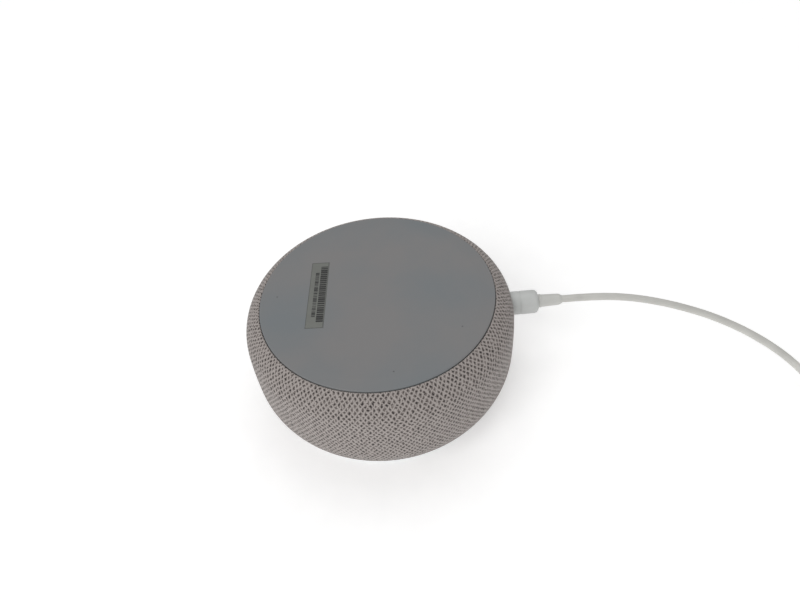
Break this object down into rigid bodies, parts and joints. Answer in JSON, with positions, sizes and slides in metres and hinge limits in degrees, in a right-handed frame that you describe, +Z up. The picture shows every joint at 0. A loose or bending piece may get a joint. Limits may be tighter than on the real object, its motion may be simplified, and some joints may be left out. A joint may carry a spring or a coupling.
{
  "type": "smart speaker",
  "caption": "Puck-shaped smart speaker with a fabric-wrapped side, lying on its button face with the rubber foot up, with a barrel-plug power lead and mains adapter.",
  "frame": {"origin": "on the floor, on the body's own axis, at the face of the top plate that the buttons are in; the speaker is stored lying on that face, as it was found", "axes": "+Z up, out of the rubber foot (down in normal use); +X out of the back, along the power and audio sockets"},
  "size_m": [0.2785, 0.1305, 0.044],
  "materials": {
    "knit_fabric": "woven, matt",
    "foot_rubber": "fine matt silicone",
    "top_plastic": "fine satin moulding",
    "light_guide": "milky, satin",
    "key_plastic": "fine satin moulding",
    "grille_plastic": "moulded",
    "black_plastic": "moulded",
    "circuit_board": "solder-masked laminate",
    "chip_black": "moulded package",
    "led_white": "clear package",
    "screw_steel": "zinc plated",
    "magnet_ferrite": "sintered, plated",
    "plate_steel": "plated",
    "coil_copper": "enamelled copper",
    "cone_paper": "coated pulp",
    "soft_rubber": "moulded",
    "foam_grey": "foam",
    "heat_sink_aluminium": "pressed sheet",
    "shield_tin": "tinned sheet",
    "label_paper": "printed film",
    "plug_plastic": "satin moulding",
    "plug_nickel": "nickel plated",
    "cord_pvc": "satin extruded sheath",
    "adapter_plastic": "fine textured moulding"
  },
  "bodies": {
    "speaker_body": {"fabric_sleeve": "knit_fabric", "grille_core": "grille_plastic", "port_bezel": "key_plastic", "top_plate": "top_plastic", "light_ring": "light_guide", "tact_switches": "chip_black", "mic_board": "circuit_board", "ring_leds": "led_white", "microphones": "shield_tin", "mic_gaskets": "soft_rubber", "ribbon_connectors": "chip_black", "ribbon_cable": "cord_pvc", "chassis": "black_plastic", "top_screws": "screw_steel", "enclosure_baffle": "black_plastic", "enclosure_cup": "black_plastic", "enclosure_foam": "foam_grey", "module_screws": "screw_steel", "speaker_grommets": "soft_rubber", "speaker_basket": "black_plastic", "speaker_gasket": "foam_grey", "speaker_front_plate": "plate_steel", "speaker_magnet": "magnet_ferrite", "speaker_yoke": "plate_steel", "speaker_surround": "soft_rubber", "speaker_spider": "knit_fabric", "speaker_wires": "soft_rubber", "main_board": "circuit_board", "dc_jack": "black_plastic", "dc_jack_pin": "plug_nickel", "audio_jack": "black_plastic", "shield_cans": "shield_tin", "thermal_pads": "foam_grey", "power_components": "chip_black", "heat_sink": "heat_sink_aluminium", "antennas": "circuit_board", "base_housing": "black_plastic", "base_screws": "screw_steel", "foot_adhesive": "foam_grey", "rubber_foot": "foot_rubber", "rating_label": "label_paper"},
    "volume_up_key": {"volume_up_button": "key_plastic"},
    "volume_down_key": {"volume_down_button": "key_plastic"},
    "action_key": {"action_button": "key_plastic"},
    "mic_mute_key": {"mic_mute_button": "key_plastic"},
    "cone_assembly": {"voice_coil": "coil_copper", "speaker_cone": "cone_paper", "dust_cap": "cone_paper"},
    "power_lead": {"plug_barrel": "plug_nickel", "plug_insulator": "black_plastic", "plug_housing": "plug_plastic", "plug_strain_relief": "plug_plastic", "power_cord": "cord_pvc", "cord_coil": "cord_pvc", "cord_tail": "cord_pvc", "adapter_case": "adapter_plastic", "adapter_cover": "adapter_plastic", "adapter_blades": "plug_nickel", "adapter_strain_relief": "plug_plastic", "adapter_circuit": "circuit_board"}
  },
  "joints": [
    {"name": "volume_up_press", "type": "slide", "parent": "speaker_body", "child": "volume_up_key", "axis": [0, 0, 1], "range_m": [0, 0.00035], "stiffness_N_per_m": 1500, "springref_m": -0.0003},
    {"name": "volume_down_press", "type": "slide", "parent": "speaker_body", "child": "volume_down_key", "axis": [0, 0, 1], "range_m": [0, 0.00035], "stiffness_N_per_m": 1500, "springref_m": -0.0003},
    {"name": "action_press", "type": "slide", "parent": "speaker_body", "child": "action_key", "axis": [0, 0, 1], "range_m": [0, 0.00035], "stiffness_N_per_m": 1500, "springref_m": -0.0003},
    {"name": "mic_mute_press", "type": "slide", "parent": "speaker_body", "child": "mic_mute_key", "axis": [0, 0, 1], "range_m": [0, 0.00035], "stiffness_N_per_m": 1500, "springref_m": -0.0003},
    {"name": "cone_excursion", "type": "slide", "parent": "speaker_body", "child": "cone_assembly", "axis": [0, 0, -1], "range_m": [-0.0015, 0.0015], "stiffness_N_per_m": 850, "deforming": ["speaker_surround", "speaker_spider"]},
    {"name": "plug_pull", "type": "slide", "parent": "speaker_body", "child": "power_lead", "axis": [1, 0, 0], "range_m": [0, 0.02]}
  ]
}
